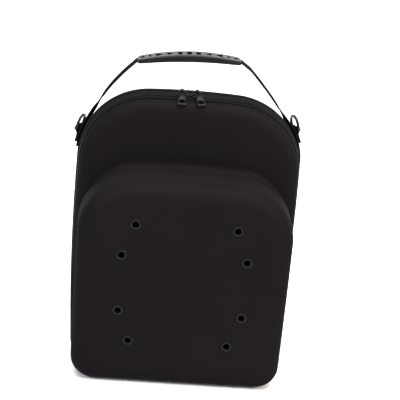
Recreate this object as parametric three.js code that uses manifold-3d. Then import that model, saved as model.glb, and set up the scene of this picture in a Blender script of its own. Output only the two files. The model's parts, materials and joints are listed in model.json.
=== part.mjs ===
import * as THREE from 'three';
import { mergeVertices } from 'three/addons/utils/BufferGeometryUtils.js';
import Module from 'manifold-3d';

const wasm = await Module();
wasm.setup();

// Case sizes in millimetres. X runs across, +Y to the back, +Z up, and the base rests on z = 0.
const wall = 4;
const gap = 0.3;
const faceY = -70;
const upperY = -12;
const seamY = 0;
const rimY = 24;
const backY = 71.2;
const zipY = (seamY + rimY) / 2;
const seamInset = 5;
const footInset = 2;
const lipRadius = seamY - upperY;
const bulgeRadius = 22;
const backRadius = 24;

// Outline of the case at its rim, and of the crown bulge at its root.
const caseSize = { half: 133, high: 335, crown: 900, shoulder: 85, bow: 2600, wideAt: 165, foot: 27 };
const bulgeSize = { half: 125.5, high: 251.5, crown: 900, shoulder: 66, bow: 9000, wideAt: 110, foot: 28 };

// Vents in the bulge.
const ventX = { outer: 57.5, inner: 71.3 };
const ventZ = { middle: 131, outer: 72, inner: 34.4 };
const eyelet = { bore: 3.6, barrel: 4.2, flange: 6.4, thick: 0.9 };

// Zip.
const tapeThick = 1.4;
const tapeSunk = 0.8;
const teethThick = 3;
const teethWide = 1.7;
const teethPart = 1.1;
const zipFoot = 36;
const sliderMid = -6.4;
const sliderPitch = 8.5;
const slider = { long: 12.5, wide: 9, plate: 1.5, clear: 0.35, under: 1.3, bridge: 3.1, bar: 1.8 };
const post = { long: 3.2, wide: 1.6, aside: 0.6 };
const bow = { outer: 4.9, inner: 3.1, flat: 3, wide: 2 };
const pull = { long: 25, neck: 3.6, top: 7, foot: 10.5, thick: 2, eye: 3.1, hole: 2, rest: 24 };
const pullWindow = { above: 9, below: 3.4, upper: 2.6, lower: 3 };
// Shift of each pull along its bar, and its lean to the side.
const pullHang = { left: [-0.3, 0], right: [0.3, 12] };

// Handle and side rings.
const strapY = 52;
const strap = { wide: 19, thick: 1.6, tilt: 16 };
const grip = { half: 60, middle: 368.7, sag: 4.4, above: 4.6, below: 3.6, wide: 26, bevel: 2.4 };
const gripThinner = { above: 2.2, below: 1.2 };
const channel = { wide: 22, high: 2.4 };
const gripPlace = { x: -8.5, turn: 3.3 };
const ring = { half: 12.5, hole: 9.3, high: 17, bar: 3.2 };
const tab = { wide: 18, eye: 2.15, outer: 3.35, tail: 16, ply: 2.4, rise: 8 };

const degrees = Math.PI / 180;

function clamp01(v) {
  return Math.min(1, Math.max(0, v));
}

function smooth(lo, hi, v) {
  const t = clamp01((v - lo) / (hi - lo));
  return t * t * (3 - 2 * t);
}

// Four arcs that run into each other: top, shoulder, flank and foot corner.
// Angles are measured from straight up towards +X.
function arcsOf(s) {
  const top = { x: 0, z: s.high - s.crown, r: s.crown, from: 0 };
  const flank = { x: s.half - s.bow, z: s.wideAt, r: s.bow };
  const a = top.r - s.shoulder;
  const b = flank.r - s.shoulder;
  const dx = flank.x - top.x;
  const dz = flank.z - top.z;
  const d = Math.hypot(dx, dz);
  const along = (a * a - b * b + d * d) / (2 * d);
  const aside = Math.sqrt(a * a - along * along);
  const shoulder = {
    x: top.x + (dx * along + dz * aside) / d,
    z: top.z + (dz * along - dx * aside) / d,
    r: s.shoulder,
  };
  top.to = Math.atan2(shoulder.x - top.x, shoulder.z - top.z);
  shoulder.from = top.to;
  shoulder.to = Math.atan2(shoulder.x - flank.x, shoulder.z - flank.z);
  flank.from = shoulder.to;
  flank.to = Math.acos((s.foot - flank.z) / (flank.r - s.foot));
  const foot = { x: flank.x + (flank.r - s.foot) * Math.sin(flank.to), z: s.foot, r: s.foot };
  foot.from = flank.to;
  foot.to = Math.PI;
  return [top, shoulder, flank, foot];
}

// Points of a whole outline with their outward directions, from the top middle round by +X.
function outlineOf(size, steps) {
  const right = [];
  arcsOf(size).forEach((arc, k) => {
    for (let i = k === 0 ? 0 : 1; i <= steps[k]; i += 1) {
      const t = arc.from + ((arc.to - arc.from) * i) / steps[k];
      const nx = Math.sin(t);
      const nz = Math.cos(t);
      right.push({ x: arc.x + arc.r * nx, z: arc.z + arc.r * nz, nx, nz });
    }
  });
  const left = right.slice(1).reverse().map((p) => ({ x: -p.x, z: p.z, nx: -p.nx, nz: p.nz }));
  return [...right, { x: 0, z: 0, nx: 0, nz: -1 }, ...left];
}

function solidMesh(points, faces) {
  const places = points.flatMap((p) => [p.x, p.y, p.z]);
  const geometry = new THREE.BufferGeometry();
  geometry.setAttribute('position', new THREE.Float32BufferAttribute(places, 3));
  geometry.setIndex(faces.flat());
  return geometry;
}

// One ring of a lofted form. Inset is taken from the outline, foot replaces it low down,
// level is kept back along the base so that it stays flat, and flare widens the upper side.
function loftRing(outline, row) {
  return outline.map((p) => {
    const low = row.foot ?? row.inset;
    const lean = low + (row.inset - low) * smooth(60, 220, p.z);
    const under = Math.max(0, -p.nz);
    const over = Math.max(0, p.nz);
    const d = lean - (row.level ?? 0) * under - (row.flare ?? 0) * over * over;
    return new THREE.Vector3(p.x - p.nx * d, row.y, p.z - p.nz * d);
  });
}

// Rows run from back to front.
function loft(outline, rows) {
  const n = outline.length;
  const rings = rows.map((row) => loftRing(outline, row));
  const points = rings.flat();
  const faces = [];
  for (let r = 0; r + 1 < rings.length; r += 1) {
    for (let i = 0; i < n; i += 1) {
      const j = (i + 1) % n;
      faces.push([r * n + i, (r + 1) * n + j, r * n + j]);
      faces.push([r * n + i, (r + 1) * n + i, (r + 1) * n + j]);
    }
  }
  const last = (rings.length - 1) * n;
  for (let i = 1; i + 1 < n; i += 1) {
    faces.push([0, i, i + 1]);
    faces.push([last, last + i + 1, last + i]);
  }
  return solidMesh(points, faces);
}

// Quarter round from the wall to the face: extra inset and travel towards the face.
function rounding(radius, turns) {
  return turns.map((t) => ({
    inset: radius * (1 - Math.cos(t * degrees)),
    run: radius * Math.sin(t * degrees),
  }));
}

function asSolid(geometry) {
  const bare = geometry.clone();
  bare.deleteAttribute('normal');
  bare.deleteAttribute('uv');
  const merged = mergeVertices(bare, 1e-4);
  const index = merged.index;
  return new wasm.Manifold(new wasm.Mesh({
    numProp: 3,
    vertProperties: new Float32Array(merged.attributes.position.array),
    triVerts: new Uint32Array(index.array),
  }));
}

function asGeometry(solid) {
  const out = solid.getMesh();
  const geometry = new THREE.BufferGeometry();
  geometry.setAttribute('position', new THREE.BufferAttribute(new Float32Array(out.vertProperties), 3));
  geometry.setIndex(new THREE.BufferAttribute(new Uint32Array(out.triVerts), 1));
  return geometry;
}

function boxSolid(x, y, z) {
  const block = new THREE.BoxGeometry(x[1] - x[0], y[1] - y[0], z[1] - z[0]);
  block.translate((x[0] + x[1]) / 2, (y[0] + y[1]) / 2, (z[0] + z[1]) / 2);
  return asSolid(block);
}

function postSolid(radius, y, x, z, sides) {
  const post = new THREE.CylinderGeometry(radius, radius, y[1] - y[0], sides);
  post.translate(x, (y[0] + y[1]) / 2, z);
  return asSolid(post);
}

const carrier = new THREE.Group();
carrier.name = 'cap_carrier';

function material(color, roughness, metalness = 0) {
  return new THREE.MeshStandardMaterial({ color, roughness, metalness });
}

function add(name, geometry, finish, parent = carrier) {
  const mesh = new THREE.Mesh(geometry, finish);
  mesh.name = name;
  parent.add(mesh);
  return mesh;
}

const shellCloth = () => material(0x201e20, 0.85);
const tapeCloth = () => material(0x1b1a1b, 0.9);
const webbing = () => material(0x1c1b1c, 0.85);
const darkMetal = () => material(0x1a1a1b, 0.35, 0.9);
const hardPlastic = () => material(0x191919, 0.45);

// Front half: a shallow tray with a rounded lip and the crown bulge standing out of it.
const shellSteps = [2, 9, 3, 5];
const caseLine = outlineOf(caseSize, shellSteps);
const bulgeLine = outlineOf(bulgeSize, shellSteps);

function trayRows(thick) {
  const lip = rounding(lipRadius - thick, [0, 20, 40, 60, 76, 90]);
  const rows = lip.map((r) => ({
    y: seamY - r.run,
    inset: seamInset + thick + r.inset,
    foot: footInset + thick + r.inset,
    level: footInset + r.inset,
  }));
  return thick ? [{ ...rows[0], y: seamY + 2 }, ...rows] : rows;
}

// Columns: y from the upper face, inset, flare of the crease above the bulge.
const bulgeTable = [
  [10, 0, 7.5],
  [0, 0.3, 6.5],
  [-2, 0.4, 3.9],
  [-5, 0.5, 1.8],
  [-9, 0.6, 0.5],
  [-13, 0.7, 0],
  [-36, 1.4, 0],
];

function bulgeRows(thick) {
  const walls = bulgeTable.map(([y, inset, flare]) => ({
    y: upperY + y,
    inset: inset + thick,
    level: inset,
    flare,
  }));
  const draft = bulgeTable.at(-1)[1];
  const start = faceY + bulgeRadius;
  const edge = rounding(bulgeRadius - thick, [18, 36, 54, 72, 90]).map((r) => ({
    y: start - r.run,
    inset: draft + thick + r.inset,
    level: draft,
  }));
  const rows = [...walls, ...edge];
  return thick ? [{ ...rows[0], y: seamY + 2 }, ...rows.slice(1)] : rows;
}

const ventSides = 12;
const ventPlaces = [-1, 1].flatMap((side) => [
  [side * ventX.outer, ventZ.middle + ventZ.outer],
  [side * ventX.inner, ventZ.middle + ventZ.inner],
  [side * ventX.inner, ventZ.middle - ventZ.inner],
  [side * ventX.outer, ventZ.middle - ventZ.outer],
]);

let frontSolid = asSolid(loft(caseLine, trayRows(0))).add(asSolid(loft(bulgeLine, bulgeRows(0))));
frontSolid = frontSolid.subtract(asSolid(loft(caseLine, trayRows(wall))));
frontSolid = frontSolid.subtract(asSolid(loft(bulgeLine, bulgeRows(wall))));
ventPlaces.forEach(([x, z]) => {
  const bore = postSolid(eyelet.barrel + gap, [faceY - wall, faceY + 2 * wall], x, z, ventSides);
  frontSolid = frontSolid.subtract(bore);
});
add('front_shell', asGeometry(frontSolid), shellCloth());

// Back half: an open tray with a flat back. Its top falls away behind the rim.
// Columns: y from the rim, inset, extra fall of the top.
const backTable = [
  [0, 0, 0],
  [5, 0.1, 0.1],
  [11, 0.4, 0.7],
  [17, 0.8, 1.9],
  [23.2, 1.2, 3.6],
];

function backRows(thick) {
  const walls = backTable.map(([y, inset, fall]) => ({
    y: rimY + y,
    inset: inset + thick,
    level: inset,
    flare: -fall,
  }));
  const draft = walls.at(-1);
  const edge = rounding(backRadius - thick, [18, 36, 54, 72, 90]).map((r) => ({
    ...draft,
    y: backY - backRadius + r.run,
    inset: draft.inset + r.inset,
  }));
  const rows = [...walls, ...edge].reverse();
  return thick ? [...rows.slice(0, -1), { ...rows.at(-1), y: rimY - 2 }] : rows;
}

const backSolid = asSolid(loft(caseLine, backRows(0))).subtract(asSolid(loft(caseLine, backRows(wall))));
add('back_shell', asGeometry(backSolid), shellCloth());

// Eyelets: a turned ring with a flange on each side of the wall.
const ventProfile = [
  [eyelet.bore, faceY - gap - eyelet.thick + 0.4],
  [eyelet.bore + 0.5, faceY - gap - eyelet.thick],
  [eyelet.flange - 0.7, faceY - gap - eyelet.thick],
  [eyelet.flange, faceY - gap],
  [eyelet.barrel, faceY - gap],
  [eyelet.barrel, faceY + wall + gap],
  [eyelet.flange - 0.6, faceY + wall + gap],
  [eyelet.flange - 0.6, faceY + wall + gap + 0.8],
  [eyelet.bore, faceY + wall + gap + 0.8],
];
ventPlaces.forEach(([x, z], i) => {
  const line = [...ventProfile, ventProfile[0]].map(([r, y]) => new THREE.Vector2(r, y));
  const turned = new THREE.LatheGeometry(line, ventSides);
  const mesh = add(`eyelet_${i + 1}`, asGeometry(asSolid(turned)), darkMetal());
  mesh.position.set(x, 0, z);
});

// Zip: strips that follow the outline in the gap between the two halves.
const zipLine = outlineOf(caseSize, [8, 9, 3, 5]);
const partedTo = 11;
const partedFade = 7;

function zipPoint(p, y, depth, parting) {
  const share = (rimY - y) / (rimY - seamY);
  const lean = footInset + (seamInset - footInset) * smooth(60, 220, p.z);
  const drop = lean * (1 - Math.max(0, -p.nz));
  const slope = Math.atan2(drop, rimY - seamY);
  const d = share * drop + depth * Math.cos(slope);
  const near = p.nz > 0.5 ? 1 - clamp01((Math.abs(p.x - sliderMid) - partedTo) / partedFade) : 0;
  return new THREE.Vector3(p.x - p.nx * d, y + depth * Math.sin(slope) + parting * near, p.z - p.nz * d);
}

// Section columns: y, depth under the skin, shift where the sliders part the teeth.
function zipStrip(section, keep) {
  const n = zipLine.length;
  const m = section.length;
  const points = zipLine.flatMap((p) => section.map((corner) => zipPoint(p, ...corner)));
  const faces = [];
  for (let i = 0; i < n; i += 1) {
    for (let k = 0; k < m; k += 1) {
      const a = i * m + k;
      const b = i * m + ((k + 1) % m);
      const c = ((i + 1) % n) * m + ((k + 1) % m);
      const d = ((i + 1) % n) * m + k;
      faces.push([a, c, b]);
      faces.push([a, d, c]);
    }
  }
  const kept = boxSolid([-caseSize.high, caseSize.high], [faceY, backY], keep);
  return asGeometry(asSolid(solidMesh(points, faces)).intersect(kept));
}

const teethIn = gap / 2;
const teethOut = teethIn + teethWide;
const tapeIn = teethOut + gap;
const tapeEnd = rimY - 3 * gap;
const tape = [tapeSunk, tapeThick];
const teeth = [0, teethThick];
const above = [zipFoot, 2 * caseSize.high];
const below = [-wall, zipFoot - gap];
// Columns: name, y from, y to, depth and thickness, parting of the two edges, heights kept, finish.
const zipTable = [
  ['zip_tape_front', seamY + gap, zipY - tapeIn, tape, [0, -teethPart], above, tapeCloth],
  ['zip_tape_back', zipY + tapeIn, tapeEnd, tape, [teethPart, 0], above, tapeCloth],
  ['zip_teeth_front', zipY - teethOut, zipY - teethIn, teeth, [-teethPart, -teethPart], above, hardPlastic],
  ['zip_teeth_back', zipY + teethIn, zipY + teethOut, teeth, [teethPart, teethPart], above, hardPlastic],
  ['hinge_band', seamY + gap, tapeEnd, tape, [0, 0], below, tapeCloth],
];
zipTable.forEach(([name, y0, y1, [top, thick], [part0, part1], keep, finish]) => {
  const section = [
    [y0, top, part0],
    [y1, top, part1],
    [y1, top + thick, part1],
    [y0, top + thick, part0],
  ];
  add(name, zipStrip(section, keep), finish());
});

// Sliders lie on the sloping tapes. The bridge bar runs along the zip and carries the pull.
const zipSlope = Math.atan2(seamInset, rimY - seamY);
const plateTop = slider.clear + slider.plate;
const barLevel = plateTop + slider.bridge + slider.bar / 2;

function sliderSolid(side) {
  const half = slider.long / 2;
  const wide = slider.wide / 2;
  const under = -teethThick - slider.clear;
  const upper = boxSolid([-half, half], [-wide, wide], [slider.clear, plateTop]);
  const lower = boxSolid([-half, half], [-wide, wide], [under - slider.under, under]);
  const postX = [side * post.aside - post.long / 2, side * post.aside + post.long / 2];
  const postZ = [under - slider.under / 2, plateTop - slider.plate / 2];
  const between = boxSolid(postX, [-post.wide / 2, post.wide / 2], postZ);
  const barTop = barLevel + slider.bar / 2;
  const barFoot = barLevel - slider.bar / 2;
  const arch = new THREE.Shape();
  arch.moveTo(-bow.outer, slider.plate / 2);
  arch.lineTo(bow.outer, slider.plate / 2);
  arch.lineTo(bow.outer, barFoot);
  arch.quadraticCurveTo(bow.outer, barTop, bow.flat, barTop);
  arch.lineTo(-bow.flat, barTop);
  arch.quadraticCurveTo(-bow.outer, barTop, -bow.outer, barFoot);
  const space = new THREE.Path();
  space.moveTo(-bow.inner, plateTop);
  space.lineTo(-bow.inner, barFoot);
  space.lineTo(bow.inner, barFoot);
  space.lineTo(bow.inner, plateTop);
  arch.holes.push(space);
  const bridge = new THREE.ExtrudeGeometry(arch, { depth: bow.wide, bevelEnabled: false, curveSegments: 3 });
  bridge.translate(0, 0, -bow.wide / 2);
  bridge.rotateX(Math.PI / 2);
  return upper.add(lower).add(between).add(asSolid(bridge));
}

// A pull has a rolled eye round the bar and a plate with a window.
function pullSolid() {
  const eye = new THREE.Shape();
  eye.absarc(0, 0, pull.eye, 0, 2 * Math.PI);
  const hole = new THREE.Path();
  hole.absarc(0, 0, pull.hole, 0, 2 * Math.PI, true);
  eye.holes.push(hole);
  const roll = new THREE.ExtrudeGeometry(eye, { depth: pull.neck, bevelEnabled: false, curveSegments: 8 });
  roll.translate(0, 0, -pull.neck / 2);
  roll.rotateY(Math.PI / 2);
  // Columns: half width, place along the pull.
  const side = [
    [pull.neck / 2, (pull.eye + pull.hole) / 2],
    [pull.neck / 2, 5],
    [pull.top / 2, 7.5],
    [pull.foot / 2, pull.long - 1.5],
    [pull.foot / 2 - 1.5, pull.long],
  ];
  const corners = [...side, ...side.slice().reverse().map(([x, z]) => [-x, z])];
  const plate = new THREE.Shape(corners.map(([x, z]) => new THREE.Vector2(x, z)));
  const window = new THREE.Path();
  window.moveTo(-pullWindow.upper, pull.long - pullWindow.above);
  window.lineTo(-pullWindow.lower, pull.long - pullWindow.below);
  window.lineTo(pullWindow.lower, pull.long - pullWindow.below);
  window.lineTo(pullWindow.upper, pull.long - pullWindow.above);
  plate.holes.push(window);
  const tongue = new THREE.ExtrudeGeometry(plate, { depth: pull.thick, bevelEnabled: false });
  tongue.translate(0, 0, -pull.thick / 2);
  tongue.rotateX(Math.PI);
  return asSolid(roll).add(asSolid(tongue));
}

const slideZ = caseSize.high - seamInset / 2;
[['left', -1], ['right', 1]].forEach(([name, side]) => {
  const seat = new THREE.Group();
  const x = sliderMid + side * sliderPitch;
  const t = Math.asin(x / caseSize.crown);
  seat.position.set(x, zipY, slideZ - caseSize.crown * (1 - Math.cos(t)));
  seat.rotation.y = t;
  carrier.add(seat);
  const body = add(`zip_slider_${name}`, asGeometry(sliderSolid(side)), darkMetal(), seat);
  body.rotation.x = zipSlope;
  const tongue = add(`zip_pull_${name}`, asGeometry(pullSolid()), darkMetal(), seat);
  const [shift, lean] = pullHang[name];
  tongue.position.set(shift, -barLevel * Math.sin(zipSlope), barLevel * Math.cos(zipSlope));
  tongue.rotation.set(pull.rest * degrees, 0, lean * degrees);
});

// Handle webbing: sewn to the sides of the back half, then free up to the grip.
// The handle stands a little to the left, with its right end higher, as loose webbing does.
const shoulder = arcsOf(caseSize)[1];

function onShoulder(turn, out, side) {
  const t = turn * degrees;
  const r = shoulder.r + out;
  return new THREE.Vector2(side * (shoulder.x + r * Math.sin(t)), shoulder.z + r * Math.cos(t));
}

// Height of the grip's middle line over its own centre.
function gripLine(x) {
  return -grip.sag * (x / grip.half) ** 2;
}

const gripCentre = new THREE.Vector2(gripPlace.x, grip.middle);

function atGrip(x) {
  const p = new THREE.Vector2(x, gripLine(x));
  return p.rotateAround(new THREE.Vector2(), gripPlace.turn * degrees).add(gripCentre);
}

// The webbing lies on the rounded back edge, which is a little inside the rim.
const strapOut = -0.35;
// Angles on the shoulder where the webbing is sewn, from its end upwards.
const sewnLeft = [87, 80, 73, 66, 59].map((turn) => onShoulder(turn, strapOut, -1));
const sewnRight = [87, 78, 69, 60, 51].map((turn) => onShoulder(turn, strapOut, 1));
// Free webbing, from the shoulder up to the grip. Columns: x and z on the left, x and z on the right.
const freeTable = [
  [-116.5, 297.3, 107.5, 309],
  [-110.8, 307.8, 100.2, 318.2],
  [-104.6, 318.4, 92.6, 327.9],
  [-97.5, 328.9, 83.5, 338.6],
  [-88.8, 339.8, 74.2, 348.9],
  [-79.3, 350.3, 64.7, 358.8],
  [-73.5, 356, 58.1, 363.8],
];
const freeLeft = freeTable.map(([x, z]) => new THREE.Vector2(x, z));
const freeRight = freeTable.map((row) => new THREE.Vector2(row[2], row[3]));
const held = [-60, -52, -40, -28, -14, 0, 14, 28, 40, 52, 60].map(atGrip);
const leftPart = [...sewnLeft, ...freeLeft];
const rightPart = [...sewnRight, ...freeRight];
const strapPath = new THREE.SplineCurve([...rightPart, ...held.reverse(), ...leftPart.reverse()]);

// Webbing along the curve. It faces a little backwards where it's sewn and is level in the grip.
function webbingMesh(curve, count) {
  const points = [];
  const faces = [];
  for (let i = 0; i <= count; i += 1) {
    const p = curve.getPoint(i / count);
    const t = curve.getTangent(i / count);
    const tilt = strap.tilt * degrees * (1 - smooth(300, 350, p.y));
    const wide = new THREE.Vector3(-t.y * Math.sin(tilt), Math.cos(tilt), t.x * Math.sin(tilt));
    const out = new THREE.Vector3(t.y * Math.cos(tilt), Math.sin(tilt), -t.x * Math.cos(tilt));
    [[-1, -1], [1, -1], [1, 1], [-1, 1]].forEach(([u, v]) => {
      const corner = new THREE.Vector3(p.x, strapY, p.y);
      corner.addScaledVector(wide, (u * strap.wide) / 2).addScaledVector(out, (v * strap.thick) / 2);
      points.push(corner);
    });
  }
  for (let i = 0; i < count; i += 1) {
    for (let k = 0; k < 4; k += 1) {
      const a = i * 4 + k;
      const b = i * 4 + ((k + 1) % 4);
      faces.push([a, b + 4, b]);
      faces.push([a, a + 4, b + 4]);
    }
  }
  const end = count * 4;
  faces.push([0, 1, 2], [0, 2, 3], [end, end + 2, end + 1], [end, end + 3, end + 2]);
  return solidMesh(points, faces);
}

// Turns a drawing in x and z into a solid that is wide in Y about the strap's middle.
function across(shape, wide, options = {}) {
  const bevel = options.bevel ?? 0;
  const geometry = new THREE.ExtrudeGeometry(shape, {
    depth: wide - 2 * bevel,
    bevelEnabled: bevel > 0,
    bevelThickness: bevel,
    bevelSize: bevel,
    bevelOffset: -bevel,
    bevelSegments: 2,
    curveSegments: options.segments ?? 6,
  });
  geometry.translate(0, 0, bevel - wide / 2);
  geometry.rotateX(Math.PI / 2);
  geometry.translate(0, strapY, 0);
  return geometry;
}

add('handle_strap', asGeometry(asSolid(webbingMesh(strapPath, 60))), webbing());

// Grip: a bowed bar with thinner ends, a channel for the webbing and a pierced top.
function gripOutline() {
  const over = [];
  const under = [];
  for (let i = -8; i <= 8; i += 1) {
    const u = i / 8;
    const x = u * grip.half;
    over.push(new THREE.Vector2(x, gripLine(x) + grip.above - gripThinner.above * u * u));
    under.push(new THREE.Vector2(x, gripLine(x) - grip.below + gripThinner.below * u * u));
  }
  return new THREE.Shape([...over, ...under.reverse()]);
}

function gripChannel() {
  const over = [];
  const under = [];
  for (let i = -10; i <= 10; i += 1) {
    const x = (i / 8) * grip.half;
    over.push(new THREE.Vector2(x, gripLine(x) + channel.high / 2));
    under.push(new THREE.Vector2(x, gripLine(x) - channel.high / 2));
  }
  return new THREE.Shape([...over, ...under.reverse()]);
}

// Columns: middle along the grip, half length, half width at the inner end and at the outer end,
// depth of the notch in the outer end.
const windowTable = [
  [0, 2.9, 6.4, 6.4, 0],
  [10.8, 2.7, 6.6, 5.4, 0],
  [23.2, 3.8, 1.4, 7.6, 2.4],
  [35.7, 4.3, 1.6, 8.2, 2.2],
  [45.6, 1.3, 5, 3.6, 0],
  [54.6, 2.4, 3.8, 3, 0],
];

function windowShape([middle, half, inner, outer, notch], side) {
  const corners = [
    [middle - half, inner],
    [middle + half, outer],
    [middle + half - notch, 0],
    [middle + half, -outer],
    [middle - half, -inner],
  ];
  const kept = corners.filter((corner, i) => i !== 2 || notch > 0);
  return new THREE.Shape(kept.map(([x, y]) => new THREE.Vector2(side * x, y)));
}

let gripSolid = asSolid(across(gripOutline(), grip.wide, { bevel: grip.bevel }));
gripSolid = gripSolid.subtract(asSolid(across(gripChannel(), channel.wide)));
windowTable.forEach((row) => {
  (row[0] === 0 ? [1] : [-1, 1]).forEach((side) => {
    const shaft = new THREE.ExtrudeGeometry(windowShape(row, side), { depth: 20, bevelEnabled: false });
    shaft.translate(0, strapY, gripLine(row[0]));
    gripSolid = gripSolid.subtract(asSolid(shaft));
  });
});
const gripMesh = add('handle_grip', asGeometry(gripSolid), hardPlastic());
gripMesh.position.set(gripCentre.x, 0, gripCentre.y);
gripMesh.rotation.y = -gripPlace.turn * degrees;

// Side rings in webbing tabs that are sewn over the ends of the handle webbing.
// Columns: name, side, angle of the tab on the shoulder, inward lean of the ring from its tab.
const ringTable = [
  ['left', -1, 78, 3],
  ['right', 1, 66, -10],
];
const barRise = strap.thick / 2 + gap + tab.outer;

function tabShape() {
  const shape = new THREE.Shape();
  shape.moveTo(-tab.outer, 0);
  shape.lineTo(-tab.outer, -tab.tail);
  shape.lineTo(tab.ply - tab.outer, -tab.tail);
  const meet = Math.acos((tab.ply - tab.outer) / tab.outer);
  shape.lineTo(tab.ply - tab.outer, -tab.outer * Math.sin(meet));
  shape.absarc(0, 0, tab.outer, -meet, Math.PI, false);
  const hole = new THREE.Path();
  hole.absarc(0, 0, tab.eye, 0, 2 * Math.PI, true);
  shape.holes.push(hole);
  return shape;
}

function ringShape() {
  const half = ring.bar / 2;
  const shape = new THREE.Shape();
  shape.moveTo(-ring.half + 1, -half);
  shape.lineTo(ring.half - 1, -half);
  shape.lineTo(ring.half, 1 - half);
  shape.lineTo(ring.half, 5);
  shape.bezierCurveTo(ring.half, 13, 7.5, ring.high, 0, ring.high);
  shape.bezierCurveTo(-7.5, ring.high, -ring.half, 13, -ring.half, 5);
  shape.lineTo(-ring.half, 1 - half);
  const hole = new THREE.Path();
  hole.moveTo(-ring.hole, half);
  hole.lineTo(-ring.hole, 5);
  hole.bezierCurveTo(-ring.hole, 10.6, -5.4, ring.high - ring.bar, 0, ring.high - ring.bar);
  hole.bezierCurveTo(5.4, ring.high - ring.bar, ring.hole, 10.6, ring.hole, 5);
  hole.lineTo(ring.hole, half);
  shape.holes.push(hole);
  return shape;
}

ringTable.forEach(([name, side, turn, lean]) => {
  const t = turn * degrees;
  const tilt = strap.tilt * degrees;
  const r = shoulder.r + strapOut + barRise * Math.cos(tilt);
  const x = shoulder.x + r * Math.sin(t) - tab.rise * Math.cos(t);
  const z = shoulder.z + r * Math.cos(t) + tab.rise * Math.sin(t);
  const seat = new THREE.Group();
  seat.position.set(side * x, strapY + barRise * Math.sin(tilt), z);
  seat.rotation.y = side * (t - Math.PI / 2);
  carrier.add(seat);
  const cut = { depth: tab.wide, bevelEnabled: false, curveSegments: 7 };
  const fold = new THREE.ExtrudeGeometry(tabShape(), cut);
  fold.translate(0, 0, -tab.wide / 2);
  fold.rotateX(Math.PI / 2);
  fold.rotateZ(side < 0 ? Math.PI - tilt : tilt);
  add(`ring_tab_${name}`, asGeometry(asSolid(fold)), webbing(), seat);
  const edge = ring.bar / 4;
  const hoop = new THREE.ExtrudeGeometry(ringShape(), {
    depth: ring.bar - 2 * edge,
    bevelEnabled: true,
    bevelThickness: edge,
    bevelSize: edge,
    bevelOffset: -edge,
    bevelSegments: 1,
    curveSegments: 7,
  });
  hoop.translate(0, 0, edge - ring.bar / 2);
  hoop.rotateX(Math.PI / 2);
  hoop.rotateZ(Math.PI / 2);
  const body = add(`d_ring_${name}`, asGeometry(asSolid(hoop)), hardPlastic(), seat);
  body.rotation.set(0, -side * lean * degrees, side * tilt, 'ZYX');
});

export default carrier;
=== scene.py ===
import json
import math
import bmesh
import bpy
import numpy as np
from mathutils import Matrix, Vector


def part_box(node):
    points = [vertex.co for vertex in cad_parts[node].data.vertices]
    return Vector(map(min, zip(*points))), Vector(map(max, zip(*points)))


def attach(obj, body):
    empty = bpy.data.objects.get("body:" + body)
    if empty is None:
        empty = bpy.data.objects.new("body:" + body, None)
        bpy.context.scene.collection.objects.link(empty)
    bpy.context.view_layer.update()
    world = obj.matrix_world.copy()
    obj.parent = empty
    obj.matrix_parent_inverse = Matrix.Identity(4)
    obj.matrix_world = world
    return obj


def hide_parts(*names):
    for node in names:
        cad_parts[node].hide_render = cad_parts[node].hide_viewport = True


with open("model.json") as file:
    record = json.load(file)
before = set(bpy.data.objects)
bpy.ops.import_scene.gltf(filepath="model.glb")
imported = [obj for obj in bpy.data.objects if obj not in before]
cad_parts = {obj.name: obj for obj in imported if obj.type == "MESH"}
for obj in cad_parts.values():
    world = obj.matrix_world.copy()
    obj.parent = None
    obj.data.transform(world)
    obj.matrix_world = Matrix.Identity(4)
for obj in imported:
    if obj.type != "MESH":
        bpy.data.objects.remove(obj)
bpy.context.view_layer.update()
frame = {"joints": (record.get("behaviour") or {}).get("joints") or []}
mm = 0.001
degrees = math.pi / 180
turn = 2 * math.pi
quarter = math.pi / 2
sharpAngle = 38 * degrees  # edges sharper than this stay crisp


def boxOf(node):
    low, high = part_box(node)
    return np.array(low), np.array(high)


def inMetres(**sizes):
    return {key: value * mm for key, value in sizes.items()}


def smooth(low, high, value):
    t = np.clip((value - low) / (high - low), 0, 1)
    return t * t * (3 - 2 * t)


def signedPower(value, power):
    return np.sign(value) * np.abs(value) ** power


def joined(*columns):
    # columns side by side, single values repeated
    return np.stack(np.broadcast_arrays(*columns), -1)


def unit(vectors):
    return vectors / np.linalg.norm(vectors, axis=1)[:, None]


def bezier(points, t):
    # curve drawn by three or four points, at shares of its run
    order = len(points) - 1
    return sum(math.comb(order, k) * (1 - t) ** (order - k) * t ** k * p for k, p in enumerate(points))


def mathsNode(operation, swapped=False):
    def combined(value, *others):
        inputs = (*others, value) if swapped else (value, *others)
        return value.finish.node("Math", dict(enumerate(inputs)), operation=operation)
    return combined


class Value:
    # one socket of a material: sums and products on it add Math nodes
    def __init__(self, finish, socket):
        self.finish, self.socket = finish, socket

    __add__ = __radd__ = mathsNode("ADD")
    __sub__ = mathsNode("SUBTRACT")
    __rsub__ = mathsNode("SUBTRACT", swapped=True)
    __mul__ = mathsNode("MULTIPLY")
    __abs__ = mathsNode("ABSOLUTE")
    sin = mathsNode("SINE")

    def ramp(self, low, high):
        # 0 below the first value, 1 above the second
        sockets = {"Value": self, 1: low, 2: high}
        return self.finish.node("MapRange", sockets, interpolation_type="SMOOTHSTEP")


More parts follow.
